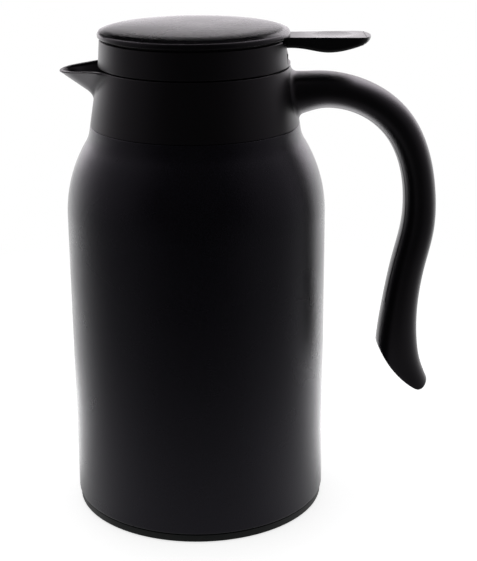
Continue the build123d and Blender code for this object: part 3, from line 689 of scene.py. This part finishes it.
def beak_r(angle, z, inset=0.0):
    """How far out the beak reaches at an angle from its middle and at a height."""
    grow = (z - toe_z) / (lip_z - toe_z)
    nose_r = max(nose_least, nose_low + nose_gain * grow) - inset
    reach = spout_tip - (lip_z - z) / tan(spout_slope) - inset
    flank = Vector((reach - nose_r * (1 - sin(flare)), nose_r * cos(flare)))
    angle = abs(angle)
    if angle > radians(60):
        return 0.0
    on_flank = (flank.y + flank.x * tan(flare)) / (sin(angle) + cos(angle) * tan(flare))
    if on_flank * cos(angle) <= flank.x:
        return on_flank
    centre = reach - nose_r
    return centre * cos(angle) + sqrt(max(0.0, nose_r**2 - (centre * sin(angle)) ** 2))


def smooth_max(a, b, soft):
    """The larger of two lengths, with a soft step between them."""
    near = max(soft - abs(a - b), 0.0)
    return max(a, b) + near * near / (4 * soft)


def wall_out(angle, z):
    """Outside of the collar's wall at an angle and a height, beak included."""
    return smooth_max(cone_r(z), beak_r(angle, z), 4.0)


def wall_in(angle, z):
    """Inside of the collar's wall, which runs into the beak's channel."""
    return smooth_max(throat_r, beak_r(angle, z, spout_wall), 1.0)


def lip_top(angle):
    """Height of the rim: the collar's top, or the tilted lip where the beak stands out."""
    out = wall_out(angle, lip_z + 1)
    tilted = lip_z + (spout_tip - out * cos(angle)) * tan(lip_tilt)
    share = eased((out - cone_r(lip_z + 1) - 0.3) / 2.5)
    return collar_top + (min(tilted, collar_top) - collar_top) * share


# %% Section of the collar at one angle
under_z, bore_r, hollow_r, hollow_top = seam_z + 0.1, 43.6, 45.2, 203.6
beak_low, lip_round = 205, 0.5


def collar_section(angle):
    """Closed outline of the collar's wall at an angle from the spout's middle."""
    top = lip_top(angle)
    edge = top - lip_round
    points = [(bore_r, under_z), (hollow_r, under_z), (hollow_r, hollow_top), (46.3, hollow_top),
              (48.0, under_z), (cone_bottom_r - 0.25, under_z),
              (cone_r(seam_z + 0.25) - 0.01, seam_z + 0.25)]
    heights = [197, 200, 203] + [beak_low + (edge - beak_low) * k / 22 for k in range(23)]
    points += [(wall_out(angle, z), z) for z in heights]
    out, inner = wall_out(angle, edge), wall_in(angle, edge)
    quarter = [(lip_round * (1 - cos(turn)), top - lip_round * (1 - sin(turn)))
               for turn in [radians(22.5 * k) for k in range(5)]]
    points += [(out - back, z) for back, z in quarter[1:]]
    points += [(inner + back, z) for back, z in reversed(quarter)]
    points += [(wall_in(angle, z), z) for z in [edge - (edge - channel_z) * k / 12 for k in range(1, 13)]]
    return points + [(throat_r, channel_z), (throat_r, ledge_z), (bore_r, ledge_z), (bore_r, under_z)]


turns = 288
angles = [pi * (1 - 2 * column / turns) for column in range(turns + 1)]
sections = [collar_section(angle) for angle in angles]


def collar_place(column, row):
    """Place of one grid point of the collar."""
    radius, height = sections[column][row]
    return (-radius * cos(angles[column]), radius * sin(angles[column]), height)


collar = finish_shape(wrapped("collar_moulding", turns, len(sections[0]) - 1, collar_place), 42)

# %% [markdown]
# ## The stopper
# One moulding again: the ring that shows, a skirt that screws into the collar, a deck with the
# pouring tube, and a hollow plug. It is turned whole, then three cuts open it: a window towards the
# spout, a notch for the lever's barrels, and a low relief where the lid's rim dips as it opens.

# %% Turned stopper
tube_in, tube_out, plug_in, plug_out, skirt_r, well_r, ring_in = 12, 14, 35, 37, 39.3, 36.9, 42.25
plug_z, deck_z, deck_top, well_top, tube_top = 197.5, 209, 211.1, 223.6, 229.65
stopper = ring("stopper", [
    (tube_in, plug_z), (tube_out, plug_z), (tube_out, deck_z), (plug_in, deck_z), (plug_in, plug_z),
    (plug_out, plug_z), (plug_out, deck_z), (skirt_r, deck_z), (skirt_r, ring_z), (45.3, ring_z),
    (45.75, ring_z + 0.5, 0.2), (44.85, ring_top, 0.6), (ring_in, ring_top, 0.6), (ring_in, well_top),
    (well_r, well_top), (well_r, deck_top), (tube_out, deck_top), (tube_out, tube_top, 0.5),
    (tube_in, tube_top, 0.5)], 256)

# %% Window, notch and relief
window_half, notch_half, relief_half, relief_depth = 13, 11.8, 17, 0.9
out_x, out_z = 70, 245          # beyond the stopper's side and top
cut(stopper, block("window", (-42.9, -window_half, deck_top), (-35.7, window_half, 219.9), 1.0))
cut(stopper, block("notch", (36.35, -notch_half, 222.6), (out_x, notch_half, out_z)))
cut(stopper, block("relief", (23.8, -relief_half, ring_top - relief_depth), (out_x, relief_half, out_z)))

# %% Ears and hinge block
ears, ear_r, ear_t, ear_round = [], 2.7, 3.0, 0.2
for side in (-1, 1):
    near, away = sorted((side * notch_half, side * (notch_half + ear_t)))
    cheek = block("ear", (pin_x - ear_r, near, 222.55), (pin_x + ear_r, away, pin_z), ear_round)
    eye = bar_across("eye", pin_x, pin_z, ear_r, ear_t / 2, ear_round)
    ears += [cheek, moved(eye, y=side * (notch_half + ear_t / 2))]
hinge_block = block("hinge_block", (37.0, -lever_half, 222.1), (44.3, lever_half, 228.0), 0.4)
join(stopper, hinge_block, *ears)
finish_shape(stopper, 40)
apply_modifier(stopper, "WEIGHTED_NORMAL", keep_sharp=True)

# %% [markdown]
# ## The screw threads
# The stopper rises 12 mm in one turn, so its thread climbs 12 mm a turn, with two starts. Each
# ridge is a small four-sided outline swept by a Screw modifier, then closed at its ends. It leaves
# the window and the spout free, as moulded threads do. The collar's ridges run between them.


# %% The ridges
pitch, ridge_half, flank, sweep = 12.0, 1.2, 0.75, 126


def ridge(name, root, crest, middle_z, start):
    """Trapezoid swept along the screw line, from an angle over `sweep` degrees."""
    low, high = middle_z - ridge_half, middle_z + ridge_half
    corners = [(root, low), (crest, low + flank), (crest, high - flank), (root, high), (root, low)]
    piece = drawn(name, [Vector(corner) for corner in corners])
    bpy.ops.mesh.select_all(action="SELECT")
    bpy.ops.mesh.remove_doubles(threshold=weld)
    apply_modifier(piece, "SCREW", angle=radians(sweep), screw_offset=pitch * sweep / 360 * mm,
                   steps=ceil(sweep / 3), render_steps=ceil(sweep / 3))
    edit(piece, "DESELECT")
    bpy.ops.mesh.select_mode(type="EDGE")
    bpy.ops.mesh.select_non_manifold(extend=False)
    bpy.ops.mesh.edge_face_add()
    return finish_shape(moved(piece, turn=start), 30)


stopper_ridges, collar_ridges = [], []
for start in (-155, 25):        # degrees from the handle
    stopper_ridges += [ridge("stopper_ridge", 39.1, 40.25, z, start) for z in (211.0, 217.0)]
    collar_ridges += [ridge("collar_ridge", 41.0, 39.8, z, start) for z in (209.2, 214.0)]
join(stopper, *stopper_ridges)
join(collar, grip, *collar_ridges)

# %% [markdown]
# ## The small fittings
# The spring, the pin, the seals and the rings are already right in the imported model, but their
# meshes are loose triangles, which shade as flat facets. So each that shows when the carafe is
# opened gets a welded copy with smooth shading, and the copy stands in for the node.


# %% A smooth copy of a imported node
def smooth_copy(node):
    """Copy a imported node, weld its loose triangles and shade it smooth."""
    pick(frame["nodes"][node])
    bpy.ops.object.duplicate()
    piece = bpy.context.active_object
    piece.name = node + "_smooth"
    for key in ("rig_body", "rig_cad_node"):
        if key in piece:
            del piece[key]
    piece.parent = None
    return finish_shape(piece, 32, turn_faces=False)


# %% Who stands in for what
record = frame["record"]
body_of = {node: body for body, members in record["behaviour"]["bodies"].items() for node in members}
slot_of = {part["node"]: part["material_slot"] for part in record["subparts"]}
pieces = {"outer_shell": steel_body, "base_cover": foot_cover, "foot_pad": foot_ring,
          "collar": collar, "handle_cover": handle_cover, "stopper_body": stopper,
          "flip_cap": flip_cap, "thumb_lever": thumb_lever}
for node in ("return_spring", "hinge_pin", "lid_liner", "lid_seal", "plug_cup", "stopper_seal",
             "neck_ring", "neck_gasket"):
    pieces[node] = smooth_copy(node)
for node, piece in pieces.items():
    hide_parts(node)
    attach(piece, body_of[node])
print(len(pieces), "pieces stand in,", len(frame["nodes"]) - len(pieces), "nodes stay")

# %% [markdown]
# ## Finishes
# A finish is more than a colour: what tells powder coat from moulded plastic is how it breaks up a
# reflection. So every finish has a fine grain in its bump, a slow cloud in its roughness and a
# small drift in its colour, all from noise on Object coordinates, which stay put on the piece. The
# helper adds one node and fills its inputs, each with a number or with another node's output.


# %% Add a node
def add_node(tree, kind, *values, **inputs):
    """Add a shader node; values fill inputs in order, keywords by name."""
    node = tree.nodes.new("ShaderNode" + kind)
    for name, value in list(enumerate(values)) + list(inputs.items()):
        socket = node.inputs[name if isinstance(name, int) else name.replace("_", " ")]
        if isinstance(value, bpy.types.NodeSocket):
            tree.links.new(value, socket)
        elif value is not None:
            socket.default_value = value
    return node


def spread(tree, value, low, high, start, end, soft=False):
    """Map low..high to start..end, held at the ends; soft eases both ends."""
    step = add_node(tree, "MapRange", value, low, high, start, end)
    step.interpolation_type = "SMOOTHSTEP" if soft else "LINEAR"
    return step.outputs["Result"]


def sums(tree, operation, first, second):
    """One step of arithmetic."""
    node = add_node(tree, "Math", first, second)
    node.operation = operation
    return node.outputs["Value"]


# %% A finish with grain, cloud and drift
def finish(name, dark, light, rough, grain, stretch=(1, 1, 1), **fixed):
    """Two colours, a roughness range, and the grain's width and height in mm."""
    material = bpy.data.materials.new(name)
    material.use_nodes = True
    tree = material.node_tree
    shader = tree.nodes["Principled BSDF"]
    for socket, number in fixed.items():
        shader.inputs[socket.replace("_", " ")].default_value = number
    place = add_node(tree, "TexCoord").outputs["Object"]
    along = add_node(tree, "Mapping", place, Scale=stretch).outputs["Vector"]
    cloud = add_node(tree, "TexNoise", along, Scale=32, Detail=5)
    cloudy = spread(tree, cloud.outputs["Fac"], 0.3, 0.7, rough[0], rough[1])
    specks = add_node(tree, "TexNoise", along, Scale=0.6 / (grain[0] * mm), Detail=3)
    drift = spread(tree, specks.outputs["Fac"], 0.35, 0.75, 0, 1)
    tint = add_node(tree, "MixRGB", drift, (*dark, 1), (*light, 1))
    fine = add_node(tree, "TexNoise", along, Scale=1 / (grain[0] * mm), Detail=2)
    bump = add_node(tree, "Bump", Strength=1, Distance=grain[1] * mm, Height=fine.outputs["Fac"])
    tree.links.new(tint.outputs["Color"], shader.inputs["Base Color"])
    tree.links.new(cloudy, shader.inputs["Roughness"])
    tree.links.new(bump.outputs["Normal"], shader.inputs["Normal"])
    return material


def worn(material, weight, colour=None, rough=None):
    """Blend another colour or roughness into a finish where `weight` (0 to 1) says."""
    tree = material.node_tree
    for name, worn_to in (("Base Color", colour), ("Roughness", rough and (rough, rough, rough))):
        if worn_to:
            socket = tree.nodes["Principled BSDF"].inputs[name]
            mix = add_node(tree, "MixRGB", weight, socket.links[0].from_socket, (*worn_to, 1))
            tree.links.new(mix.outputs["Color"], socket)


# %% [markdown]
# ## Powder coat and moulded blacks
# Powder coat melts into a skin with a pebbled surface about half a millimetre across, so its
# reflection is soft and sparkles a little. The mouldings are satin: their tool was eroded to a
# finer grain. The blacks differ slightly on the real thing, so each part has its own: the steel
# leans to violet, the foot to green.

# %% Black finishes
violet, violet_speck = (0.0019, 0.0016, 0.0028), (0.0042, 0.0036, 0.0062)
black, black_speck = (0.0019, 0.0017, 0.0022), (0.0032, 0.0029, 0.0036)
teal, teal_speck = (0.0018, 0.0034, 0.0034), (0.0036, 0.0056, 0.0056)
violet_sheen, plum_sheen = (0.88, 0.84, 1.0, 1), (0.96, 0.89, 1.0, 1)
powder_coat = finish("powder_coat", violet, violet_speck, (0.25, 0.32), (0.5, 0.075),
                     Specular_Tint=violet_sheen)
collar_black = finish("collar_black", black, black_speck, (0.34, 0.42), (0.3, 0.008),
                      Specular_Tint=plum_sheen)
stopper_black = finish("stopper_black", black, black_speck, (0.31, 0.39), (0.3, 0.008),
                       Specular_Tint=plum_sheen)
lid_black = finish("lid_black", black, black_speck, (0.25, 0.29), (0.28, 0.003), IOR=1.42,
                   Specular_Tint=plum_sheen)
lever_black = finish("lever_black", black, black_speck, (0.27, 0.34), (0.28, 0.006))
foot_black = finish("foot_black", teal, teal_speck, (0.45, 0.55), (0.35, 0.012), IOR=1.45)
fitting_black = finish("fitting_black", (0.012, 0.012, 0.0125), (0.018, 0.018, 0.019),
                       (0.36, 0.46), (0.3, 0.01))

# %% [markdown]
# ## Wear
# A carafe that has been used shows it in three places: thumbs polish the dish of the lever, the
# lid gets hairlines from being wiped, and the foot's lowest edge is scuffed by tables. Each is a
# weight from 0 to 1 that is large only there; the hairlines and the scuffs are broken up by noise,
# and the polish fades out smoothly, so that none has a hard border.


# %% Polished dish, wiped lid, scuffed foot
def near_point(material, x, y, z, radius):
    """1 at a point (mm) and 0 beyond a radius."""
    tree = material.node_tree
    place = add_node(tree, "TexCoord").outputs["Object"]
    away = add_node(tree, "VectorMath", place, (x * mm, y * mm, z * mm))
    away.operation = "DISTANCE"
    return spread(tree, away.outputs["Value"], 0, radius * mm, 1, 0, soft=True)


thumb_x, thumb_r, scuff_low, scuff_high = 68, 14, 3.5, 9.0
worn(lever_black, near_point(lever_black, thumb_x, 0, lever_top, thumb_r), rough=0.22)

tree = lid_black.node_tree
place = add_node(tree, "TexCoord").outputs["Object"]
wiped = add_node(tree, "Mapping", place, Rotation=(0, 0, 0.5), Scale=(40, 900, 40)).outputs["Vector"]
hair = add_node(tree, "TexNoise", wiped, Scale=1, Detail=3).outputs["Fac"]
worn(lid_black, spread(tree, hair, 0.6, 0.7, 0, 0.25), rough=0.36)

for material in (powder_coat, foot_black):
    tree = material.node_tree
    place = add_node(tree, "TexCoord").outputs["Object"]
    height = add_node(tree, "SeparateXYZ", place).outputs["Z"]
    low = spread(tree, height, scuff_low * mm, scuff_high * mm, 1, 0, soft=True)
    rub = add_node(tree, "TexNoise", place, Scale=260, Detail=6).outputs["Fac"]
    scuff = sums(tree, "MULTIPLY", low, spread(tree, rub, 0.55, 0.7, 0, 0.5))
    worn(material, scuff, colour=(0.02, 0.02, 0.021), rough=0.6)

# %% [markdown]
# ## Steel, rubber, silicone, solder and foam
# The flask inside is bare steel, turned and wiped, so its marks run round it: the noise is
# squeezed along Z. Silicone is soft and a little translucent, rubber is dull, foam has open cells.

# %% Other finishes
bare_steel = finish("bare_steel", (0.50, 0.49, 0.47), (0.60, 0.59, 0.57), (0.2, 0.34), (0.8, 0.008),
                    stretch=(0.3, 0.3, 4), Metallic=1.0)
solder_glass = finish("solder_glass", (0.20, 0.22, 0.20), (0.30, 0.32, 0.29), (0.12, 0.25), (0.9, 0.02))
rubber = finish("rubber", (0.010, 0.010, 0.010), (0.022, 0.022, 0.022), (0.6, 0.75), (0.5, 0.03))
silicone = finish("silicone", (0.055, 0.055, 0.058), (0.075, 0.075, 0.078), (0.42, 0.52), (0.6, 0.01),
                  Sheen_Weight=0.2)
foam = finish("foam", (0.62, 0.60, 0.52), (0.78, 0.76, 0.68), (0.75, 0.85), (1.2, 0.15))
cells = add_node(foam.node_tree, "TexVoronoi", add_node(foam.node_tree, "TexCoord").outputs["Object"],
                 Scale=900)
foam.node_tree.links.new(cells.outputs["Distance"], foam.node_tree.nodes["Bump"].inputs["Height"])

# %% Give each piece and each node its finish
finishes = {
    "coated_steel": powder_coat, "bare_steel": bare_steel, "solder_glass": solder_glass,
    "foot_plastic": foot_black, "foot_rubber": rubber, "fitting_plastic": fitting_black,
    "silicone": silicone, "collar_plastic": collar_black, "stopper_plastic": stopper_black,
    "foam": foam, "lid_plastic": lid_black, "lever_plastic": lever_black}
for node, packed in frame["nodes"].items():
    for slot in packed.material_slots:
        slot.material = finishes[slot_of[node]]
for node, piece in pieces.items():
    piece.data.materials.clear()
    piece.data.materials.append(finishes[slot_of[node]])
print(len(finishes), "finishes on", len(frame["nodes"]), "nodes")

# %% [markdown]
# ## The studio
# Black gloss shows nothing but its surroundings, so the studio is what models the shape: white
# paper that is bright behind the carafe and falls off towards the viewer draws light edges and a
# dark middle. Only reflections see that fall-off. Other rays see plain paper and an even fill, and
# the camera sees white. `curve` holds the fall-off as pairs: how far behind the carafe, from -1 in
# front to 1, and how bright.


# %% Brightness curve, and one shader for each kind of ray
def curve(tree, value, pairs, peak=3.0):
    """Brightness as a smooth curve over a value from -1 (towards the viewer) to 1 (behind)."""
    line = add_node(tree, "FloatCurve", None, spread(tree, value, -1, 1, 0, 1))
    points = line.mapping.curves[0].points
    while len(points) < len(pairs):
        points.new(0.5, 0.5)
    for point, (where, bright) in zip(points, pairs):
        point.location = ((where + 1) / 2, bright / peak)
    line.mapping.update()
    return sums(tree, "MULTIPLY", line.outputs["Value"], peak)


def by_ray(tree, output, seen, mirrored, other):
    """Show one shader to the camera, one to reflections and one to all other light."""
    rays = add_node(tree, "LightPath").outputs
    unseen = add_node(tree, "MixShader", rays["Is Glossy Ray"], other, mirrored).outputs["Shader"]
    surface = add_node(tree, "MixShader", rays["Is Camera Ray"], unseen, seen).outputs["Shader"]
    tree.links.new(surface, tree.nodes[output].inputs["Surface"])


# %% Paper floor
floor = add(bpy.ops.mesh.primitive_plane_add, "studio_floor", size=12)
paper = bpy.data.materials.new("white_paper")
paper.use_nodes = True
tree = paper.node_tree
card = tree.nodes["Principled BSDF"]
card.inputs["Base Color"].default_value = (0.86, 0.86, 0.86, 1)
card.inputs["Roughness"].default_value = 0.9
card.inputs["Specular IOR Level"].default_value = 0
place = add_node(tree, "TexCoord").outputs["Object"]
measure = add_node(tree, "VectorMath", place)
measure.operation = "LENGTH"
length = measure.outputs["Value"]        # from the middle of the floor, in metres
round_it = sums(tree, "DIVIDE", add_node(tree, "SeparateXYZ", place).outputs["Y"], length)
close = curve(tree, round_it, [(-1, 0.12), (-0.84, 0.15), (-0.58, 0.22), (-0.19, 0.32), (0.04, 0.45),
                               (0.31, 0.85), (0.6, 1.6), (0.78, 2.1), (1, 2.2)])
distant = curve(tree, round_it, [(-1, 0.02), (-0.9, 0.04), (-0.66, 0.10), (-0.33, 0.14), (-0.13, 0.18),
                                 (0.1, 0.26), (0.36, 0.5), (0.53, 0.9), (0.7, 1.4), (0.94, 1.7), (1, 1.7)])
near = spread(tree, length, 0.23, 0.40, 1, 0)
bright = sums(tree, "ADD", sums(tree, "MULTIPLY", close, near),
              sums(tree, "MULTIPLY", distant, sums(tree, "SUBTRACT", 1.0, near)))
bright = sums(tree, "MULTIPLY", bright, spread(tree, length, 0.08, 0.24, 2.3, 1.0))
mirrored = add_node(tree, "Emission", Strength=bright).outputs["Emission"]
glow = add_node(tree, "Emission", Strength=0.72).outputs["Emission"]
lit = add_node(tree, "AddShader", card.outputs["BSDF"], glow).outputs["Shader"]
plain = add_node(tree, "Emission").outputs["Emission"]
seen = add_node(tree, "MixShader", spread(tree, length, 0.2, 0.45, 0, 1, soft=True), lit, plain)
by_ray(tree, "Material Output", seen.outputs["Shader"], mirrored, card.outputs["BSDF"])
floor.data.materials.append(paper)

# %% Backdrop
world = bpy.data.worlds.new("studio")
bpy.context.scene.world = world
world.use_nodes = True
tree = world.node_tree
split = add_node(tree, "SeparateXYZ", add_node(tree, "TexCoord").outputs["Generated"])
white = (1, 1, 1, 1)
ahead = curve(tree, split.outputs["Y"], [(-1, 0.02), (-0.6, 0.03), (-0.2, 0.06), (0.12, 0.8), (0.37, 4.0),
                                         (0.64, 5.6), (0.84, 4.2), (0.95, 1.9), (1, 2.5)], peak=6.0)
aside = curve(tree, split.outputs["Y"], [(-1, 0.02), (-0.75, 0.03), (-0.4, 0.16), (-0.1, 0.22), (0.2, 0.32),
                                         (0.5, 0.7), (0.8, 1.2), (1, 1.2)])
sideways = spread(tree, sums(tree, "ABSOLUTE", split.outputs["X"], 0.0), 0.3, 0.75, 0, 1)
bright = add_node(tree, "Mix", sideways, A=ahead, B=aside).outputs["Result"]
mirrored = add_node(tree, "Background", (1, 0.955, 0.995, 1), bright).outputs["Background"]
fill = add_node(tree, "Background", white, 0.3).outputs["Background"]
seen = add_node(tree, "Background", white, 1.0).outputs["Background"]
by_ray(tree, "World Output", seen, mirrored, fill)

# %% [markdown]
# ## Flags
# The lid is nearly flat, so it would mirror one even tone. In a studio black cards, called flags,
# are hung just above the strip of backdrop that such a surface mirrors. The back of the lid then
# stays light, its front and its rim turn dark, and it reads as the shallow dome it is. The second
# card starts higher, so that the lever and the handle keep their light.

# %% Two flags behind the lid
felt = bpy.data.materials.new("black_felt")
felt.use_nodes = True
cloth = felt.node_tree.nodes["Principled BSDF"]
cloth.inputs["Base Color"].default_value = (0.001, 0.001, 0.001, 1)
cloth.inputs["Specular IOR Level"].default_value = 0
flag_y, flag_top = 0.1, 0.62
for name, left, right, low in (("lid_flag", -0.16, 0.056, 0.259), ("side_flag", 0.056, 0.12, 0.3)):
    flag = add(bpy.ops.mesh.primitive_plane_add, name, size=1, rotation=(pi / 2, 0, 0))
    flag.scale = (right - left, 1, flag_top - low)
    flag.location = ((left + right) / 2, flag_y, (low + flag_top) / 2)
    flag.visible_camera = flag.visible_diffuse = flag.visible_shadow = flag.visible_transmission = False
    flag.data.materials.append(felt)


# %% Lamps
def softbox(name, place, aim, width, height, watts):
    """A soft rectangular lamp that faces a point."""
    lamp = bpy.data.lights.new(name, "AREA")
    lamp.shape = "RECTANGLE"
    lamp.size = width
    lamp.size_y = height
    lamp.energy = watts
    holder = bpy.data.objects.new(name, lamp)
    bpy.context.scene.collection.objects.link(holder)
    holder.location = place
    holder.rotation_euler = (Vector(aim) - Vector(place)).to_track_quat("-Z", "Y").to_euler()
    holder.visible_camera = holder.visible_glossy = False


softbox("back_light", (0, 1.6, 0.52), (0, 0, 0.2), 3.2, 0.6, 5)
softbox("top_light", (0, 0.1, 1.7), (0, 0, 0.12), 0.9, 0.9, 5)

# %% [markdown]
# ## The camera
# A long lens from a little above keeps the carafe's sides nearly upright. The view is turned and
# tipped with matrices, because it also leans a third of a degree.

# %% Camera
lens = bpy.data.cameras.new("view")
lens.lens = 90.22
lens.sensor_width = 36
lens.clip_start = 0.05
view = bpy.data.objects.new("view", lens)
bpy.context.scene.collection.objects.link(view)
view.location = (0.02039, -0.6669, 0.3365)
raised, leaning = Matrix.Rotation(radians(71.466), 3, "X"), Matrix.Rotation(radians(-0.355), 3, "Z")
view.rotation_euler = (raised @ leaning).to_euler()
bpy.context.scene.camera = view
bpy.context.scene.view_settings.view_transform = "Standard"

# %% Update the view layer
bpy.context.view_layer.update()
